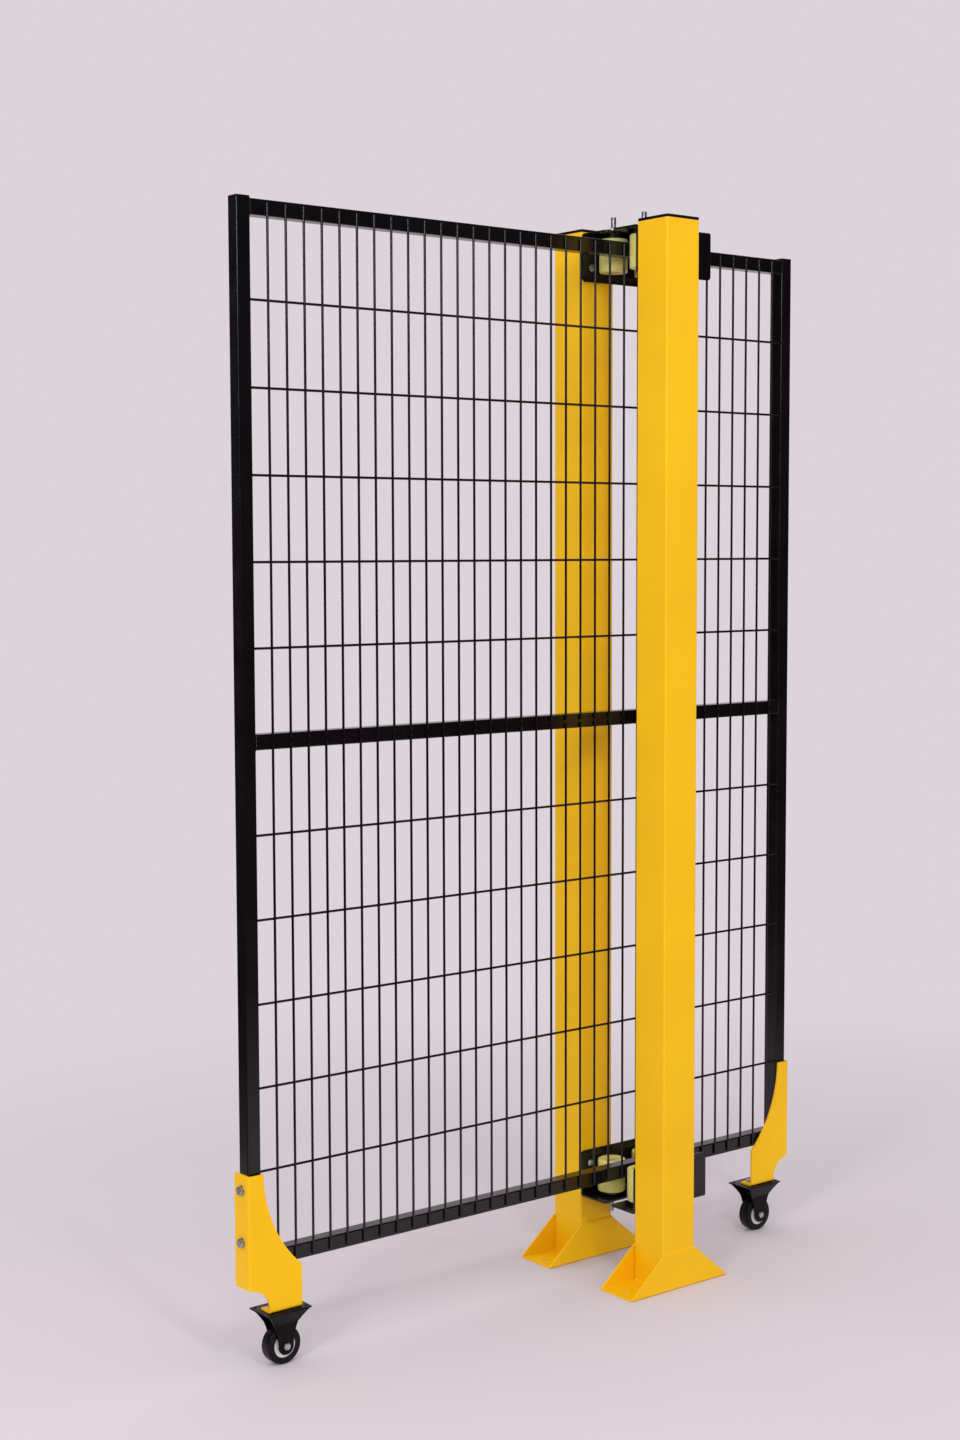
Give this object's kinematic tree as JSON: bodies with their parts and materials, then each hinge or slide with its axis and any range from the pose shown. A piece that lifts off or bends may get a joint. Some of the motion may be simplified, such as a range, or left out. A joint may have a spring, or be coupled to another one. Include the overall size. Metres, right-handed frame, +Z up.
{
  "type": "sliding machine guard panel",
  "caption": "Sliding machine guard gate: welded mesh panel in a tube frame, rolling on fixed casters between two floor posts with nylon guide rollers.",
  "frame": {"origin": "middle of the front post's foot, on its underside at floor level", "axes": "+X along the panel's travel, +Y from the front post to the back post, +Z up"},
  "size_m": [1.4746, 0.3616, 2.259],
  "materials": {
    "yellow_coat": "satin",
    "black_coat": "satin",
    "black_plastic": "matte",
    "cream_nylon": "satin",
    "zinc_plate": "satin",
    "wheel_tread": "matte",
    "wheel_core": "satin"
  },
  "bodies": {
    "posts": {"front_post": "yellow_coat", "back_post": "yellow_coat", "front_post_cap": "black_plastic", "back_post_cap": "black_plastic", "front_foot": "yellow_coat", "back_foot": "yellow_coat", "front_lower_bracket": "black_coat", "back_lower_bracket": "black_coat", "front_upper_bracket": "black_coat", "back_upper_bracket": "black_coat", "front_bracket_bolts": "zinc_plate", "back_bracket_bolts": "zinc_plate", "front_lower_roller_bolts": "zinc_plate", "back_lower_roller_bolts": "zinc_plate", "front_upper_roller_bolts": "zinc_plate", "back_upper_roller_bolts": "zinc_plate"},
    "panel": {"left_stile": "black_coat", "right_stile": "black_coat", "stile_caps": "black_plastic", "top_rail": "black_coat", "middle_rail": "black_coat", "bottom_rail": "black_coat", "upper_mesh": "black_coat", "lower_mesh": "black_coat", "left_caster_bracket": "yellow_coat", "right_caster_bracket": "yellow_coat", "left_caster_bolts": "zinc_plate", "right_caster_bolts": "zinc_plate", "left_caster_fork": "black_coat", "right_caster_fork": "black_coat", "left_caster_axle": "zinc_plate", "right_caster_axle": "zinc_plate"},
    "left_wheel": {"left_wheel_tread": "wheel_tread", "left_wheel_core": "wheel_core"},
    "right_wheel": {"right_wheel_tread": "wheel_tread", "right_wheel_core": "wheel_core"},
    "front_lower_left_roller": {"front_lower_left_roller": "cream_nylon"},
    "front_lower_right_roller": {"front_lower_right_roller": "cream_nylon"},
    "back_lower_left_roller": {"back_lower_left_roller": "cream_nylon"},
    "back_lower_right_roller": {"back_lower_right_roller": "cream_nylon"},
    "front_upper_left_roller": {"front_upper_left_roller": "cream_nylon"},
    "front_upper_right_roller": {"front_upper_right_roller": "cream_nylon"},
    "back_upper_left_roller": {"back_upper_left_roller": "cream_nylon"},
    "back_upper_right_roller": {"back_upper_right_roller": "cream_nylon"}
  },
  "joints": [
    {"name": "panel_slide", "type": "slide", "parent": "posts", "child": "panel", "axis": [1, 0, 0], "range_m": [-0.2, 0.785]},
    {"name": "left_wheel_turn", "type": "hinge", "parent": "panel", "child": "left_wheel", "pos_m": [-0.881, 0.1343, 0.0375], "axis": [0, 1, 0], "continuous": true},
    {"name": "right_wheel_turn", "type": "hinge", "parent": "panel", "child": "right_wheel", "pos_m": [0.409, 0.1343, 0.0375], "axis": [0, 1, 0], "continuous": true},
    {"name": "front_lower_left_roller_turn", "type": "hinge", "parent": "posts", "child": "front_lower_left_roller", "pos_m": [0.01, 0.084, 0.192], "axis": [0, 0, 1], "continuous": true},
    {"name": "front_lower_right_roller_turn", "type": "hinge", "parent": "posts", "child": "front_lower_right_roller", "pos_m": [0.11, 0.084, 0.192], "axis": [0, 0, 1], "continuous": true},
    {"name": "back_lower_left_roller_turn", "type": "hinge", "parent": "posts", "child": "back_lower_left_roller", "pos_m": [0.01, 0.1796, 0.192], "axis": [0, 0, 1], "continuous": true},
    {"name": "back_lower_right_roller_turn", "type": "hinge", "parent": "posts", "child": "back_lower_right_roller", "pos_m": [0.11, 0.1796, 0.192], "axis": [0, 0, 1], "continuous": true},
    {"name": "front_upper_left_roller_turn", "type": "hinge", "parent": "posts", "child": "front_upper_left_roller", "pos_m": [0.01, 0.084, 2.178], "axis": [0, 0, 1], "continuous": true},
    {"name": "front_upper_right_roller_turn", "type": "hinge", "parent": "posts", "child": "front_upper_right_roller", "pos_m": [0.11, 0.084, 2.178], "axis": [0, 0, 1], "continuous": true},
    {"name": "back_upper_left_roller_turn", "type": "hinge", "parent": "posts", "child": "back_upper_left_roller", "pos_m": [0.01, 0.1796, 2.178], "axis": [0, 0, 1], "continuous": true},
    {"name": "back_upper_right_roller_turn", "type": "hinge", "parent": "posts", "child": "back_upper_right_roller", "pos_m": [0.11, 0.1796, 2.178], "axis": [0, 0, 1], "continuous": true}
  ],
  "couplings": [
    {"joint": "left_wheel_turn", "follows": "panel_slide", "rad_per_m": 26.667},
    {"joint": "right_wheel_turn", "follows": "panel_slide", "rad_per_m": 26.667}
  ]
}
